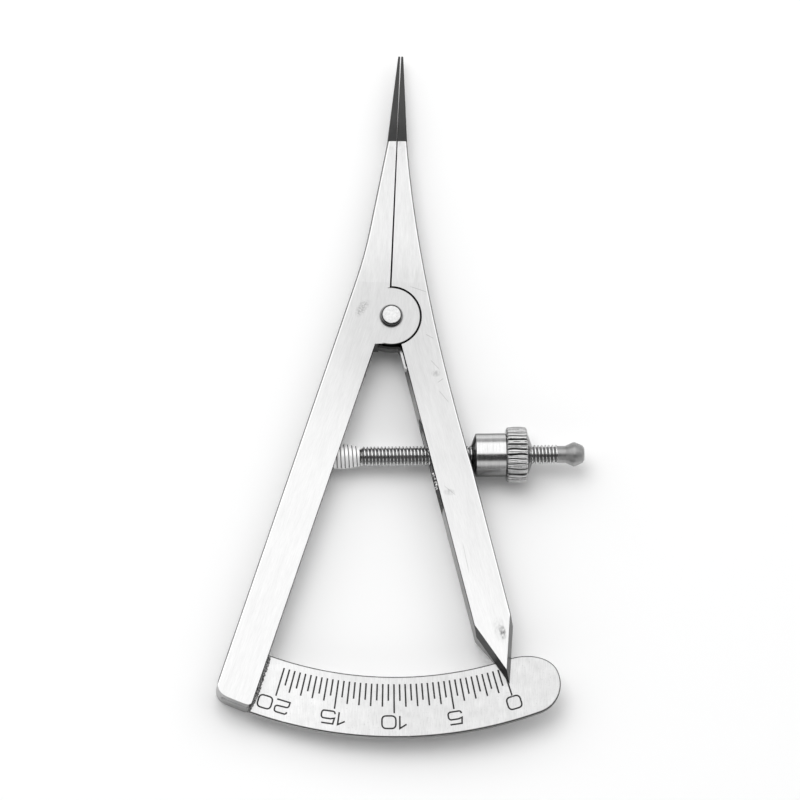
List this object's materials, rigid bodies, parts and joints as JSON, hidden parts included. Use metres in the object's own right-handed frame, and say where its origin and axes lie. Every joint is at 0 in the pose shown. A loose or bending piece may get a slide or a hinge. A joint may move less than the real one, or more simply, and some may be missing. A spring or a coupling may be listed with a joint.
{
  "type": "surgical caliper",
  "caption": "Small flat steel caliper with fine black tips, an arc scale in millimetres, and a screw with a knurled nut that opens the tips.",
  "frame": {"origin": "On the pivot axis, in the back plane of the legs, at the rivet's flush back face", "axes": "+X to the right seen from the front, +Y towards the measuring tips, +Z out of the front face along the pivot axis"},
  "size_m": [0.0465, 0.0881, 0.0071],
  "materials": {
    "satin_steel": "satin, brushed along the leg",
    "plate_steel": "satin, with engraved dark lines",
    "turned_steel": "turned, half bright",
    "thread_steel": "cut thread, dull",
    "stop_steel": "dull grey, blotchy",
    "spring_steel": "rolled, half bright",
    "black_tip": "black, finely ground"
  },
  "bodies": {
    "fixed_leg": {"left_leg": "satin_steel", "left_tip": "black_tip", "scale_plate": "plate_steel", "pivot_rivet": "turned_steel", "adjusting_screw": "thread_steel", "anchor_collar": "turned_steel", "screw_stop": "stop_steel"},
    "pointer_leg": {"right_leg": "satin_steel", "right_tip": "black_tip", "return_spring": "spring_steel"},
    "sleeve": {"thrust_sleeve": "turned_steel"},
    "nut": {"thumb_nut": "turned_steel"}
  },
  "joints": [
    {"name": "leg_swing", "type": "hinge", "parent": "fixed_leg", "child": "pointer_leg", "pos_m": [0, 0, 0.00243], "axis": [0, 0, 1], "range_deg": [-34.1, 0], "deforming": ["return_spring"]},
    {"name": "nut_travel", "type": "slide", "parent": "fixed_leg", "child": "sleeve", "axis": [0.9998, 0.0185, 0], "range_m": [-0.01084, 0]},
    {"name": "nut_spin", "type": "hinge", "parent": "sleeve", "child": "nut", "pos_m": [-0.0068, -0.01771, 0.00243], "axis": [0.9998, 0.0185, 0], "range_deg": [-8667, 0]}
  ],
  "couplings": [
    {"joint": "nut_travel", "follows": "leg_swing", "m_per_rad": 0.0182},
    {"joint": "nut_spin", "follows": "leg_swing", "ratio": 254.12}
  ]
}
